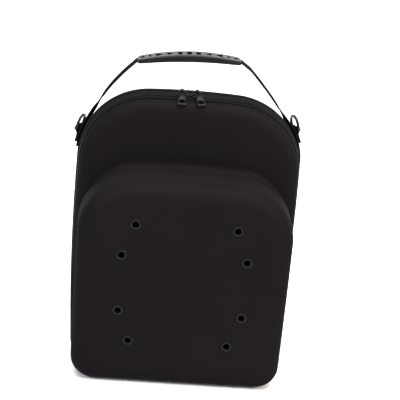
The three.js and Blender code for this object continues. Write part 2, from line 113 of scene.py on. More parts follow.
class Finish:
    # one material and its nodes
    def __init__(self, name, constants):
        self.material = bpy.data.materials.new(name)
        self.material.use_nodes = True
        self.tree = self.material.node_tree
        self.shader = self.tree.nodes["Principled BSDF"]
        for key, value in constants.items():
            self.shader.inputs[key].default_value = value
        self.place = self.node("TexCoord", output="Object")

    def node(self, kind, sockets=None, output=0, **settings):
        made = self.tree.nodes.new("ShaderNode" + kind)
        for key, value in settings.items():
            setattr(made, key, value)
        for key, value in (sockets or {}).items():
            if isinstance(value, Value):
                self.tree.links.new(value.socket, made.inputs[key])
            else:
                made.inputs[key].default_value = value
        return Value(self, made.outputs[output])

    def split(self, vector):
        first = self.node("SeparateXYZ", {0: vector})
        return [Value(self, socket) for socket in first.socket.node.outputs]

    def noise(self, scale, detail=3, vector=None):
        return self.node("TexNoise", {"Vector": vector or self.place, "Scale": scale, "Detail": detail})

    def mixed(self, share, first, second):
        return self.node("Mix", {0: share, 6: first, 7: second}, 2, data_type="RGBA")

    def toned(self, share, look):
        # from the dark tone to the light one
        tint = look.get("tint", (1, 1, 1))
        return self.mixed(share, grey(look["dark"], tint), grey(look["light"], tint))

    def feed(self, key, value):
        self.tree.links.new(value.socket, self.shader.inputs[key])

    def bump(self, height, distance, strength):
        sockets = {"Strength": strength, "Distance": distance, "Height": height}
        self.feed("Normal", self.node("Bump", sockets))


def grey(level, tint=(1, 1, 1)):
    return (*[level * share for share in tint], 1)


def shellCloth():
    # Cloth on the moulded halves: basket weave along each axis, weighed by how far the cloth faces it.
    look = dict(
        pitch=0.62 * mm, relief=0.06 * mm, fuzz=1500, patches=9, rough=0.56, gloss=0.014,
        dark=0.0045, light=0.0078, tint=(1.08, 0.9, 1.06),
    )
    finish = Finish("shellCloth", {
        "Specular IOR Level": 0.0, "Coat Roughness": 0.42, "Sheen Weight": 0.03, "Sheen Roughness": 0.3,
    })
    waves = [(axis * (turn / look["pitch"])).sin() for axis in finish.split(finish.place)]
    facing = finish.split(finish.node("TexCoord", output="Normal"))
    weave = 0
    for axis in range(3):
        weave = waves[axis - 1] * waves[axis - 2] * facing[axis] * facing[axis] + weave
    fuzz = finish.noise(look["fuzz"], 2)
    patches = finish.noise(look["patches"], 4)
    lightness = (weave * 0.3 + fuzz * 0.6 + patches * 0.5 - 0.1).ramp(0, 1)
    finish.feed("Base Color", finish.toned(lightness, look))
    finish.feed("Roughness", look["rough"] + patches * 0.12 + fuzz * 0.08)
    finish.bump(weave * 0.6 + fuzz * 0.8, look["relief"], 0.7)
    edgeOn = finish.node("LayerWeight", output="Facing")
    # soft gloss that fades where the pile is seen edge on
    finish.feed("Coat Weight", (1 - edgeOn).ramp(0.1, 0.6) * look["gloss"])
    return finish


def wovenStrip(name, rib, pick, seamShadeWidth=0):
    # Woven strip: length in U, width in V. Ribs run along it and picks cross them.
    # its darkest tone is the colour of the painted shade along the seam
    look = dict(
        relief=0.12 * mm, fuzz=1800, rough=0.66, seamShade=0.0005,
        dark=0.005, light=0.010, tint=(1.04, 0.96, 1.03),
    )
    finish = Finish(name, {"Specular IOR Level": 0.0})
    along, across, _ = finish.split(finish.node("UVMap", uv_map="strip"))
    ribs = (across * (turn / rib)).sin()
    picks = (along * (turn / pick) + ribs * 1.4).sin()
    weave = ribs * 0.6 + picks * (1.3 - abs(ribs)) * 0.5
    fuzz = finish.noise(look["fuzz"], 2)
    colour = finish.toned((weave * 0.35 + fuzz * 0.5 + 0.25).ramp(0, 1), look)
    if seamShadeWidth:  # painted shade: a dark band along the edge where V starts, standing in for the shade in the seam's groove by the front shell
        colour = finish.mixed(across.ramp(seamShadeWidth, 1.15 * seamShadeWidth), grey(look["seamShade"]), colour)
    finish.feed("Base Color", colour)
    finish.feed("Roughness", look["rough"] + fuzz * 0.2)
    finish.bump(weave * 0.7 + fuzz * 0.4, look["relief"], 0.9)
    return finish


def moulded(name, look):
    # Moulded plastic or thread: fine grain, with slow changes in tone and roughness.
    finish = Finish(name, {"Specular IOR Level": look["gloss"]})
    fine = finish.noise(2600, 2)
    slow = finish.noise(60, 3)
    finish.feed("Base Color", finish.toned(slow, look))
    finish.feed("Roughness", look["rough"] + slow * 0.14)
    finish.bump(fine, look["grain"], 0.6)
    return finish


def lacquer(name, gloss):
    # Black lacquer over metal, with faint rubbing marks.
    look = dict(dark=0.002, light=0.005, rough=0.16, relief=0.02 * mm, rubs=(900, 220, 900))
    finish = Finish(name, {"Specular IOR Level": gloss})
    slow = finish.noise(300, 4)
    stretched = finish.node("Mapping", {"Vector": finish.place, "Scale": look["rubs"]})
    rubs = finish.noise(1, 3, stretched).ramp(0.55, 0.75)
    finish.feed("Base Color", finish.toned(rubs, look))
    finish.feed("Roughness", look["rough"] + slow * 0.14 + rubs * 0.08)
    finish.bump(slow, look["relief"], 0.5)
    return finish


def paleFloor():
    finish = Finish("paleFloor", {"Specular IOR Level": 0.0})
    finish.feed("Base Color", finish.toned(finish.noise(3, 2), {"dark": 0.9, "light": 0.93}))
    finish.feed("Roughness", 0.9 + finish.noise(2) * 0.05)
    return finish


mouldedLooks = {
    "thread": dict(dark=0.01, light=0.018, rough=0.55, grain=0.03 * mm, gloss=0.3),
    "zipCoil": dict(dark=0.003, light=0.005, rough=0.38, grain=0.01 * mm, gloss=0.12),
    "gripPlastic": dict(dark=0.002, light=0.003, rough=0.28, grain=0.015 * mm, gloss=0.15),
    "ringPlastic": dict(dark=0.003, light=0.005, rough=0.3, grain=0.012 * mm, gloss=0.2),
}
threadFinish, coilFinish, gripFinish, ringFinish = [moulded(*row) for row in mouldedLooks.items()]
clothFinish = shellCloth()
# the tapes get painted seam shade up to 5.2 mm behind the front seam
tapeFinish = wovenStrip("zipTape", rib=0.9 * mm, pick=0.75 * mm, seamShadeWidth=5.2 * mm)
webFinish = wovenStrip("webbing", rib=1.7 * mm, pick=1.3 * mm)
metalFinish = lacquer("zipLacquer", gloss=0.1)
eyeletFinish = lacquer("eyeletLacquer", gloss=0.12)
print("finishes made")


def gridFaces(rows, cols, closeRows=False):
    # quads between neighbouring points of a grid whose rows are closed rings
    index = np.arange(rows * cols).reshape(rows, cols)
    corners = [index, np.roll(index, -1, 1), np.roll(index, -1, (0, 1)), np.roll(index, -1, 0)]
    return joined(*corners)[:rows if closeRows else -1].reshape(-1, 4)


def endFan(ring, middle, flipped):
    # triangles from a closed ring of points to a middle point
    after = np.roll(ring, -1)
    pair = (after, ring) if flipped else (ring, after)
    return joined(*pair, middle)


def tube(grid):
    # rings of points joined into a tube, with a middle point closing each end
    rows, cols = grid.shape[:2]
    ring = np.arange(cols)
    count = rows * cols
    points = np.vstack([grid.reshape(-1, 3), grid[0].mean(0), grid[-1].mean(0)])
    ends = [endFan(ring, count, True), endFan(ring + count - cols, count + 1, False)]
    return points, [gridFaces(rows, cols), *ends]


def hoop(grid):
    # a grid closed both ways
    return grid.reshape(-1, 3), [gridFaces(*grid.shape[:2], True)]


def bowl(grid, pole, flipped):
    # rings that end in one middle point, left open at the first ring
    rows, cols = grid.shape[:2]
    ring = np.arange(cols) + (rows - 1) * cols
    quads = gridFaces(rows, cols)
    points = np.vstack([grid.reshape(-1, 3), pole])
    return points, [quads[:, ::-1] if flipped else quads, endFan(ring, rows * cols, flipped)]


def shaded(mesh):
    mesh.shade_smooth()
    mesh.set_sharp_from_angle(angle=sharpAngle)
    return mesh


def meshOf(name, parts, closed=True, strip=None):
    points, faces, start = [], [], 0
    for partPoints, partFaces in parts:
        points.append(partPoints)
        faces += [face for group in partFaces for face in (group + start).tolist()]
        start += len(partPoints)
    mesh = bpy.data.meshes.new(name)
    mesh.from_pydata(np.concatenate(points).tolist(), [], faces)
    if closed:
        work = bmesh.new()
        work.from_mesh(mesh)
        bmesh.ops.recalc_face_normals(work, faces=work.faces[:])
        work.to_mesh(mesh)
        work.free()
    if strip is not None:  # length and width of a woven strip at each point
        corners = np.empty(len(mesh.loops), np.int32)
        mesh.loops.foreach_get("vertex_index", corners)
        layer = mesh.uv_layers.new(name="strip")
        layer.data.foreach_set("uv", strip[corners].astype(np.float32).ravel())
    return shaded(mesh)


def stripTube(name, grid, length, width):
    # woven strip with the length of each ring and the width of each of its points
    strip = joined(length[:, None], width).reshape(-1, 2)
    return meshOf(name, [tube(grid)], strip=np.vstack([strip, strip[0], strip[-1]]))


def linked(name, data):
    thing = bpy.data.objects.new(name, data)
    bpy.context.scene.collection.objects.link(thing)
    return thing


def piece(mesh, finish, nodes=(), body="case"):
    thing = linked(mesh.name, mesh)
    mesh.materials.append(finish.material)
    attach(thing, body)
    if nodes:
        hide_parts(*nodes)
    return thing


def settled(thing):
    # keeps the result of the modifiers as the mesh
    shape = thing.evaluated_get(bpy.context.evaluated_depsgraph_get())
    mesh = bpy.data.meshes.new_from_object(shape)
    mesh.name = thing.name
    thing.modifiers.clear()
    thing.data = shaded(mesh)


def cutOut(thing, parts):
    # takes closed shapes out of a piece
    cutter = linked("cutter", meshOf("cutter", parts))
    change = thing.modifiers.new("cut", "BOOLEAN")
    change.object = cutter
    change.solver = "EXACT"
    settled(thing)
    bpy.data.objects.remove(cutter)


def roundedRect(width, height, radius):
    # closed section, anticlockwise: four quarter circles
    t = np.linspace(0, quarter, 4)
    corners = []
    for k, (right, up) in enumerate([(1, 1), (-1, 1), (-1, -1), (1, -1)]):
        a = t + k * quarter
        middle = [right * (width / 2 - radius), up * (height / 2 - radius)]
        corners.append(middle + radius * joined(np.cos(a), np.sin(a)))
    return np.concatenate(corners)


def sweep(path, side, up, section):
    # section points carried along a path: place + side * first + up * second
    first, second = section[:, :1], section[:, 1:]
    return path[:, None] + side[:, None] * first + up[:, None] * second


def lengths(path):
    return np.concatenate([[0], np.cumsum(np.linalg.norm(np.diff(path, axis=0), axis=1))])


def atLengths(rows, far, want):
    # rows of values read at the wanted distances along a line
    return np.stack([np.interp(want, far, column) for column in rows.T], 1)


def capsule(size):
    # small six-sided bar with narrower ends in its own axes: along, across, up
    t = np.array([-1, -0.7, 0.7, 1])[:, None]
    swell = np.array([0.45, 1, 1, 0.45])[:, None] / 2
    a = np.arange(6) / 6 * turn
    across, up = np.cos(a) * swell * size["wide"], np.sin(a) * swell * size["high"]
    return joined(t * size["long"] / 2, across, up)


def scattered(shape, places, *axes):
    # copies of one small shape, each at its place and along its own three axes
    rings, around = shape.shape[:2]
    size = rings * around
    points = places[:, None]
    for k, axis in enumerate(axes):
        points = points + axis[:, None] * shape.reshape(1, -1, 3)[..., k:k + 1]
    shift = (np.arange(len(places)) * size)[:, None, None]
    ends = np.stack([np.arange(around)[::-1], np.arange(size - around, size)])
    quads = (gridFaces(rings, around)[None] + shift).reshape(-1, 4)
    return points.reshape(-1, 3), [quads, (ends[None] + shift).reshape(-1, around)]


# Sizes that several pieces share. Places come from the frame.
frontLow, frontHigh = boxOf("front_shell")
backLow, backHigh = boxOf("back_shell")
faceY, seamY, rimY, backY = frontLow[1], frontHigh[1], backLow[1], backHigh[1]
shared = dict(
    inMetres(wall=4, seamInset=5, footInset=2, leanFrom=60, leanTo=220, edge=1.1, step=1.5),
    edgeRows=5, flatRings=14, lastRing=0.03,
)
caseLine = dict(
    inMetres(crown=900, shoulder=85, bow=2600, wideAt=165, foot=27), half=backHigh[0], high=backHigh[2],
)


def arcsOf(size):
    # top, shoulder, flank and foot arcs that run into each other; angles from straight up towards +X
    top = np.array([0, size["high"] - size["crown"]])
    flank = np.array([size["half"] - size["bow"], size["wideAt"]])
    a, b = size["crown"] - size["shoulder"], size["bow"] - size["shoulder"]
    gap = flank - top
    far = np.hypot(*gap)
    along = (a * a - b * b + far * far) / (2 * far)
    aside = math.sqrt(a * a - along * along)
    shoulder = top + (gap * along + np.array([gap[1], -gap[0]]) * aside) / far
    toTop = math.atan2(*(shoulder - top))
    toFlank = math.atan2(*(shoulder - flank))
    low = size["bow"] - size["foot"]
    toFoot = math.acos((size["foot"] - flank[1]) / low)
    foot = np.array([flank[0] + low * math.sin(toFoot), size["foot"]])
    return [
        (top, size["crown"], 0, toTop),
        (shoulder, size["shoulder"], toTop, toFlank),
        (flank, size["bow"], toFlank, toFoot),
        (foot, size["foot"], toFoot, math.pi),
    ]


def outline(size, step):
    # closed line in x and z with outward normals, clockwise from the top middle
    points, normals = [], []
    for middle, radius, start, end in arcsOf(size):
        count = max(4, math.ceil(radius * (end - start) / step))
        t = np.linspace(start, end, count, endpoint=False)
        normals.append(joined(np.sin(t), np.cos(t)))
        points.append(middle + radius * normals[-1])
    baseX = np.linspace(middle[0], 0, math.ceil(middle[0] / step), endpoint=False)
    points.append(joined(baseX, 0))
    normals.append(np.tile([0.0, -1.0], (len(baseX), 1)))
    closed = []
    for rows, last in [(points, [0, 0]), (normals, [0, -1])]:
        right = np.concatenate(rows)
        closed.append(np.concatenate([right, [last], right[:0:-1] * [-1, 1]]))
    return closed


def lean(z):
    # how far the sides come in between the back rim and the seam: less at the foot
    low, high = shared["footInset"], shared["seamInset"]
    return low + (high - low) * smooth(shared["leanFrom"], shared["leanTo"], z)


def bearings(points, middle):
    # angle of each point about a middle, from straight up towards +X
    return np.arctan2(*(points - middle).T)


def radii(points, middle, angles):
    # distance from the middle to a closed line, at each angle
    own = bearings(points, middle) % turn
    order = np.argsort(own)
    return np.interp(angles, own[order], np.hypot(*(points - middle).T)[order], period=turn)


def evenAngles(points, middle, count):
    # angles of points at even steps along a closed line
    closed = np.vstack([points, points[:1]])
    far = lengths(closed)
    want = np.linspace(0, far[-1], count, endpoint=False)
    return np.interp(want, far, np.unwrap(bearings(closed, middle)))


def evenRows(rows, count):
    # rows of radius and depth: the same number on every profile, at even steps along it
    profiles = []
    for profile in np.swapaxes(rows, 0, 1):
        far = lengths(profile)
        profiles.append(atLengths(profile, far, np.linspace(0, far[-1], count)))
    return np.array(profiles).transpose(2, 1, 0)


def softened(values):
    # evens out creases between neighbouring rows, in two passes
    for _ in range(2):
        values[1:-1] = (values[:-2] + 2 * values[1:-1] + values[2:]) / 4
    return values


def shellMesh(name, radius, depth, angles, middle, flipped):
    # rolled edge, profile rows and flat rings to the middle, turned about an axis along y
    t = np.linspace(0, quarter, shared["edgeRows"])[:-1, None]
    side = np.sign(depth[1, 0] - depth[0, 0])
    edgeR = radius[:1] - shared["edge"] * (1 - np.sin(t))
    edgeY = depth[:1] - side * shared["edge"] * np.cos(t)
    shares = np.linspace(1, shared["lastRing"], shared["flatRings"])[1:, None]
    allR = np.vstack([edgeR, radius, radius[-1:] * shares])
    allY = np.vstack([edgeY, depth, depth[-1:] + 0 * shares])
    grid = joined(middle[0] + allR * np.sin(angles), allY, middle[1] + allR * np.cos(angles))
    return meshOf(name, [bowl(grid, [middle[0], depth[-1, 0], middle[1]], flipped)], closed=False)


def thickened(thing):
    change = thing.modifiers.new("wall", "SOLIDIFY")
    change.thickness = shared["wall"]
    change.offset = -1
    settled(thing)


# Front half: a tray with a rounded lip, a flat upper face and the crown bulge with its rounded front.
front = dict(
    inMetres(
        half=125.5, high=251.5, crown=900, shoulder=66, bow=9000, wideAt=110, foot=28,
        middle=126, lip=12, rounding=22, deep=36, inset=0.3, draft=1.4,
        flare=7.5, flareTo=13, fadeFrom=0.5, fadeTo=6,
    ),
    cols=360, outerRows=30, innerRows=60, lipRows=24, sideRows=22, roundRows=14, crowding=1.4,
)


def bulgeRing(points, normals, ahead):
    # bulge line at a distance ahead of the upper face: leans in by the draft, flares out over its top
    flare = front["flare"] * np.clip(1 - ahead / front["flareTo"], 0, 1) ** 3
    inset = front["inset"] + (front["draft"] - front["inset"]) * np.clip(ahead / front["deep"], 0, 1)
    over, under = np.maximum(0, normals[:, 1]), np.maximum(0, -normals[:, 1])
    return points - normals * (inset * (1 - under) - flare * over ** 4)[:, None]


def frontShell():
    middle = np.array([0, front["middle"]])
    bulge, bulgeOut = outline(front, shared["step"])
    tray, trayOut = outline(caseLine, shared["step"])
    angles = evenAngles(bulge, middle, front["cols"])
    upperY = seamY - front["lip"]
    # lip: a quarter circle from the seam to the upper face
    turns = np.linspace(math.asin(shared["edge"] / front["lip"]), quarter, front["lipRows"])[:, None]
    lipY = seamY - front["lip"] * np.sin(turns)
    trayUnder = np.maximum(0, -trayOut[:, 1])
    lip = []
    for fall in front["lip"] * (1 - np.cos(turns)):
        inset = lean(tray[:, 1]) + fall - (shared["footInset"] + fall) * trayUnder
        lip.append(radii(tray - trayOut * inset[:, None], middle, angles))
    lip = np.array(lip)
    # crease: where the bulge leaves the lip or the upper face; fades out under the base
    foot = radii(bulgeRing(bulge, bulgeOut, 0), middle, angles)
    crossed = np.array([np.interp(r, column, lipY[::-1, 0]) for r, column in zip(foot, lip[::-1].T)])
    fade = smooth(front["fadeFrom"], front["fadeTo"], middle[1] + foot * np.cos(angles))
    creaseY = upperY + (crossed - upperY) * fade
    outerR, outerY = np.vstack([np.maximum(lip, foot), foot]), np.vstack([np.maximum(lipY, creaseY), creaseY])
    # bulge: its sides, then its rounded front
    inner = [joined(foot, creaseY)]
    for ahead in front["deep"] * np.linspace(0, 1, front["sideRows"]) ** front["crowding"]:
        inner.append(joined(radii(bulgeRing(bulge, bulgeOut, ahead), middle, angles), upperY - ahead))
    under = np.maximum(0, -bulgeOut[:, 1])
    for a in np.linspace(0, quarter, front["roundRows"])[1:]:
        inset = front["draft"] * (1 - under) + front["rounding"] * (1 - math.cos(a))
        y = upperY - front["deep"] - front["rounding"] * math.sin(a)
        inner.append(joined(radii(bulge - bulgeOut * inset[:, None], middle, angles), y))
    outer, inner = evenRows(joined(outerR, outerY), front["outerRows"]), evenRows(inner, front["innerRows"])
    radius, depth = [np.vstack([softened(a), softened(b)[1:]]) for a, b in zip(outer, inner)]
    return shellMesh("frontShell", radius, depth, angles, middle, True)


frontPiece = piece(frontShell(), clothFinish, ["front_shell"])
thickened(frontPiece)

# Back half: sides that fall away to the back, with a rounded edge.
back = dict(
    inMetres(middle=165, rounding=24, inset=1.2, fall=3.6),
    cols=320, rows=40, sideRows=14, roundRows=16, insetPower=1.5, fallPower=2.2,
)


def backShell():
    middle = np.array([0, back["middle"]])
    line, out = outline(caseLine, shared["step"])
    angles = evenAngles(line, middle, back["cols"])
    over, under = np.maximum(0, out[:, 1]), np.maximum(0, -out[:, 1])
    edgeY = backY - back["rounding"]
    rows = []
    for y in np.linspace(rimY + shared["edge"], edgeY, back["sideRows"]):
        t = (y - rimY) / (edgeY - rimY)
        inset = back["inset"] * t ** back["insetPower"] * (1 - under)
        inset = inset + back["fall"] * t ** back["fallPower"] * over ** 2
        rows.append(joined(radii(line - out * inset[:, None], middle, angles), y))
    for a in np.linspace(0, quarter, back["roundRows"])[1:]:
        rolled = inset + back["rounding"] * (1 - math.cos(a))
        y = edgeY + back["rounding"] * math.sin(a)
        rows.append(joined(radii(line - out * rolled[:, None], middle, angles), y))
    radius, depth = evenRows(rows, back["rows"])
    return shellMesh("backShell", softened(radius), softened(depth), angles, middle, False)


thickened(piece(backShell(), clothFinish, ["back_shell"]))
print("moulded halves made")


# Vents: turned eyelets with a rolled front flange, in bores through the bulge's front.
vent = dict(
    inMetres(
        bore=3.6, barrel=4.2, flange=6.4, roll=1.2, rollIn=0.2, rollOver=0.15,
        back=5.8, backThick=0.8, play=0.15, ahead=5, behind=9,
    ),
    count=8, sides=40, boreSides=32, rollSteps=12,
)


def turned(profile, place, sides):
    # radius and y along a profile, turned round an axis along y
    a = np.arange(sides)[:, None] / sides * turn
    r, y = np.array(profile).T[:, None]
    return joined(place[0] + r * np.sin(a), y, place[2] + r * np.cos(a))


def eyeletProfile(low, high):
    t = np.linspace(0, math.pi, vent["rollSteps"])
    middle, half = (vent["bore"] + vent["flange"]) / 2, (vent["flange"] - vent["bore"]) / 2
    roll = joined(middle - half * np.cos(t), low + vent["roll"] * (1 - np.sin(t)))
    under, inner = low + vent["roll"] + vent["rollOver"], high - vent["backThick"]
    shank = [
        (vent["flange"] - vent["rollIn"], under), (vent["barrel"], under), (vent["barrel"], inner),
        (vent["back"], inner), (vent["back"], high), (vent["bore"], high),
    ]
    return np.vstack([roll, shank])


boreRadius = vent["barrel"] + vent["play"]
boreSpan = [(boreRadius, faceY - vent["ahead"]), (boreRadius, faceY + vent["behind"])]
bores = []
for index in range(1, vent["count"] + 1):
    low, high = boxOf(f"eyelet_{index}")
    place = (low + high) / 2
    grid = turned(eyeletProfile(low[1], high[1]), place, vent["sides"])
    piece(meshOf(f"eyelet{index}", [hoop(grid)]), eyeletFinish, [f"eyelet_{index}"])
    bores.append(tube(turned(boreSpan, place, vent["boreSides"]).transpose(1, 0, 2)))
cutOut(frontPiece, bores)
print("vents made")


# Zip: woven tapes and coil teeth that follow the case's line between the two halves.
zipSize = inMetres(middle=12, foot=36, footGap=0.3, step=1.6, part=1.1, partTo=11, partFade=7)
tape = dict(
    inMetres(gap=2.15, sunk=0.8, thick=1.4, bevel=0.2, cord=0.35, groove=1.3, tuck=2.5),
    **inMetres(reach=2.1, under=2, flap=0.6),  # the part that runs on under the teeth
    # shares of its width: points across it, raised cords and their width, dips at the two edges
    spots=[0, 0.08, 0.16, 0.24, 0.32, 0.5, 0.76, 0.92, 1],
    cordsAt=(0.06, 0.94), cordWide=0.1, startDip=(0.08, 0.32), endDip=(0.76, 1),
)
tooth = dict(inMetres(pitch=1.7, long=2.5, wide=0.95, high=1.9, aside=0.75, sunk=0.95, first=1.2), slant=0.97)
stitch = inMetres(pitch=3.4, long=2.5, wide=0.5, high=0.36, edgeIn=1.9, proud=0.05, zipFrom=2, hingeFrom=3)
zipY = zipSize["middle"]
jointPlaces = {row["child"]: np.array(row["pos_m"]) for row in frame["joints"]}
sliderX = {name: np.mean(boxOf(f"zip_slider_{name}"), 0)[0] for name in ("left", "right")}
sliderMid = (sliderX["left"] + sliderX["right"]) / 2


def zipSpots(points, normals, y, depth, part):
    # places under the sloping skin between seam and rim; the sliders part the two rows
    drop = lean(points[:, 1]) * (1 - np.maximum(0, -normals[:, 1]))
    slope = np.arctan2(drop, rimY - seamY)
    inset = (rimY - y) / (rimY - seamY) * drop + depth * np.cos(slope)
    away = (np.abs(points[:, 0] - sliderMid) - zipSize["partTo"]) / zipSize["partFade"]
    near = (1 - np.clip(away, 0, 1)) * (normals[:, 1] > 0.5)  # only across the top
    flat = points - normals * inset[:, None]
    spots = joined(flat[:, 0], y + depth * np.sin(slope) + part * near, flat[:, 1])
    x, z = normals.T
    out = joined(x * np.cos(slope), -np.sin(slope), z * np.cos(slope))
    across = joined(x * np.sin(slope), np.cos(slope), z * np.sin(slope))
    return spots, out, across


def stripMesh(name, points, normals, section):
    # closed section carried along the case's line; columns: y, depth, parting
    grid = np.stack([zipSpots(points, normals, *corner)[0] for corner in section], 1)
    return stripTube(name, grid, lengths(points), section[:, 0])


def tapeSection(start, end, cordAtStart, cordAtEnd):
    # flat tape, raised along an edge that holds teeth and running on under them,
    # dipping along an edge that is sewn in
    t = np.array(tape["spots"])
    startCord, endCord = [np.exp(-((t - at) / tape["cordWide"]) ** 2) for at in tape["cordsAt"]]
    raised = cordAtStart * startCord + cordAtEnd * endCord
    dip = (1 - cordAtStart) * (1 - smooth(*tape["startDip"], t)) + (1 - cordAtEnd) * smooth(*tape["endDip"], t)
    top = tape["sunk"] - tape["cord"] * raised + tape["groove"] * dip
    top[[0, -1]] += tape["bevel"]
    partStart, partEnd = zipSize["part"] * cordAtStart, -zipSize["part"] * cordAtEnd
    y, part = start + (end - start) * t, partStart + (partEnd - partStart) * t
    y[0] -= tape["tuck"] * (1 - cordAtStart)
    y[-1] += tape["tuck"] * (1 - cordAtEnd)
    reach, under = tape["reach"], tape["under"]
    level = under + tape["flap"]
    bottom = tape["sunk"] + tape["thick"] + tape["groove"] * dip
    bottom[[0, -1]] = np.where([cordAtStart, cordAtEnd], level, bottom[[0, -1]])
    section = [joined(y, top, part), joined(y, bottom, part)[::-4]]  # fewer points underneath
    if cordAtStart:
        section.insert(0, joined([start - reach, start - reach, start], [level, under, under], partStart))
    if cordAtEnd:
        section.insert(1, joined([end, end + reach, end + reach], [under, under, level], partEnd))
    return np.vstack(section)


# the case's line twice: clockwise from the top middle, and from the base middle, up on the left
topLine, topOut = outline(caseLine, zipSize["step"])
half = len(topLine) // 2
baseLine, baseOut = np.roll(topLine, half, 0), np.roll(topOut, half, 0)
above, below = baseLine[:, 1] > zipSize["foot"], topLine[:, 1] < zipSize["foot"] - zipSize["footGap"]
zipLine, hingeLine = (baseLine[above], baseOut[above]), (topLine[below], topOut[below])
tapeLow, tapeHigh = boxOf("zip_tape_front")[0][1], boxOf("zip_tape_back")[1][1]
for name, node, line, section in [
    ("zipTapeFront", "zip_tape_front", zipLine, tapeSection(tapeLow, zipY - tape["gap"], 0, 1)),
    ("zipTapeBack", "zip_tape_back", zipLine, tapeSection(zipY + tape["gap"], tapeHigh, 1, 0)),
    ("hingeBand", "hinge_band", hingeLine, tapeSection(tapeLow, tapeHigh, 0, 0)),
]:
    piece(stripMesh(name, *line, section), tapeFinish, [node])


def alongLine(points, normals, spacing, start):
    # points and normals at even steps along an open line
    far = lengths(points)
    want = np.arange(start, far[-1] - start, spacing)
    return atLengths(points, far, want), unit(atLengths(normals, far, want))


def rowOf(shape, points, normals, y, depth, part=0, slant=0):
    # small shapes in a row along the zip; a slant of 1 puts them straight across it
    spots, out, across = zipSpots(points, normals, y, depth, part)
    along = joined(normals[:, 1], 0, -normals[:, 0])
    length = across * slant + along * math.sqrt(1 - slant * slant)
    return scattered(shape, spots, length, np.cross(out, length), out)


for name, side, start in [("Front", -1, tooth["first"]), ("Back", 1, tooth["first"] + tooth["pitch"] / 2)]:
    spots = alongLine(*zipLine, tooth["pitch"], start)
    y, part = zipY + side * tooth["aside"], side * zipSize["part"]
    row = rowOf(capsule(tooth), *spots, y, tooth["sunk"], part, tooth["slant"])
    piece(meshOf(f"zipTeeth{name}", [row]), coilFinish, [f"zip_teeth_{name.lower()}"])

rows = []
for y in (tapeLow + stitch["edgeIn"], tapeHigh - stitch["edgeIn"]):
    for line, start in [(zipLine, stitch["zipFrom"]), (hingeLine, stitch["hingeFrom"])]:
        spots = alongLine(*line, stitch["pitch"], start)
        rows.append(rowOf(capsule(stitch), *spots, y, tape["sunk"] - stitch["proud"]))
piece(meshOf("zipStitches", rows), threadFinish)
print("zip made")


# Sliders: two plates over and under the teeth, a post between them and an arched bridge for the pull.
slider = dict(
    inMetres(
        long=12.5, wide=9, plate=1.5, clear=0.35, under=1.3, teeth=3,
        bridge=3.1, bar=1.8, barWide=2.2, barRound=0.5, barIn=0.5, bow=4,
        postLong=1.1, postWide=0.7, postIn=0.4, postBack=4.4,
    ),
    archPower=0.62, archSteps=33,
)
plateShape = dict(plan=0.55, edge=0.35, rows=9, cols=44, taper=0.28)
postShape = dict(plan=0.8, edge=0.2, rows=7, cols=16, taper=0.0)
topSlope = math.atan2(shared["seamInset"], rimY - seamY)
sliderTip = {name: math.asin(x / caseLine["crown"]) for name, x in sliderX.items()}


def pillow(half, low, high, plan, edge, rows, cols, taper):
    # flat rounded plate: signed powers of cosine and sine, narrower towards +x by the taper
    v = np.linspace(-quarter, quarter, rows + 2)[1:-1, None]
    u = np.arange(cols) / cols * turn
    ring = np.cos(v) ** edge
    x = half[0] * ring * signedPower(np.cos(u), plan)
    y = half[1] * ring * signedPower(np.sin(u), plan) * (1 - taper * smooth(0, half[0], x))
    z = (low + high) / 2 + (high - low) / 2 * signedPower(np.sin(v), 0.7)
    return joined(x, y, z)


def placed(grid, origin, axes):
    # own axes to the frame
    return origin + grid @ np.array(axes)


def rotation(*turns):
    # turns about named axes, the last one first
    matrix = Matrix.Identity(3)
    for angle, axis in turns:
        matrix = matrix @ Matrix.Rotation(angle, 3, axis)
    return matrix


def turnedAxes(*turns):
    return np.array(rotation(*turns).transposed())


def sliderGrids():
    # own axes: along the zip, across it, up from the teeth
    top, foot = slider["clear"] + slider["plate"], -slider["teeth"] - slider["clear"]
    plan, post = (slider["long"] / 2, slider["wide"] / 2), (slider["postLong"], slider["postWide"])
    sunk = slider["postIn"]
    t = np.linspace(0, math.pi, slider["archSteps"])
    rise = slider["bridge"] + slider["bar"] / 2 + slider["barIn"]
    archX = -slider["bow"] * signedPower(np.cos(t), slider["archPower"])
    archZ = top - slider["barIn"] + rise * np.sin(t) ** slider["archPower"]
    arch = joined(archX, 0, archZ)
    heading = unit(np.gradient(arch, axis=0))
    outward = joined(-heading[:, 2], 0, heading[:, 0])
    across = np.array([[0, 1, 0]])
    return [
        pillow(plan, slider["clear"], top, **plateShape),
        pillow(plan, foot - slider["under"], foot, **plateShape),
        pillow(post, foot - sunk, top - sunk, **postShape) - [slider["postBack"], 0, 0],
        sweep(arch, across, outward, roundedRect(slider["barWide"], slider["bar"], slider["barRound"])),
    ]


for name, side in [("left", -1), ("right", 1)]:
    tip = sliderTip[name]
    axes = turnedAxes((tip, "Y"), (topSlope, "X")) * [[side], [side], [1]]
    fall = caseLine["crown"] * (1 - math.cos(tip))
    origin = np.array([sliderX[name], zipY, caseLine["high"] - shared["seamInset"] / 2 - fall])
    mesh = meshOf(f"zipSlider{name.title()}", [tube(placed(grid, origin, axes)) for grid in sliderGrids()])
    piece(mesh, metalFinish, [f"zip_slider_{name}"])


# Pulls: a rolled eye round the bridge and a tapered plate with a window near its foot.
pull = dict(
    inMetres(neck=3.6, thick=2, bevel=0.45, eye=3.1, hole=2, eyeRound=0.4),
    # right side of the plate, its window and the window's middle: x and distance from the hinge, in mm
    side=[(1.8, 2.2), (1.8, 5), (3.5, 7.5), (5.25, 24.8)],
    window=[(-2.6, 16), (2.6, 16), (3, 21.6), (-3, 21.6)], middle=(0, 18.8),
    rim=[(0, 0.55), (0.4, 0.87), (1, 1)],  # bevels in from the edge, and share of the half thickness
    eyeSides=36, rest=24 * degrees, lean={"left": 0, "right": 12 * degrees},
)


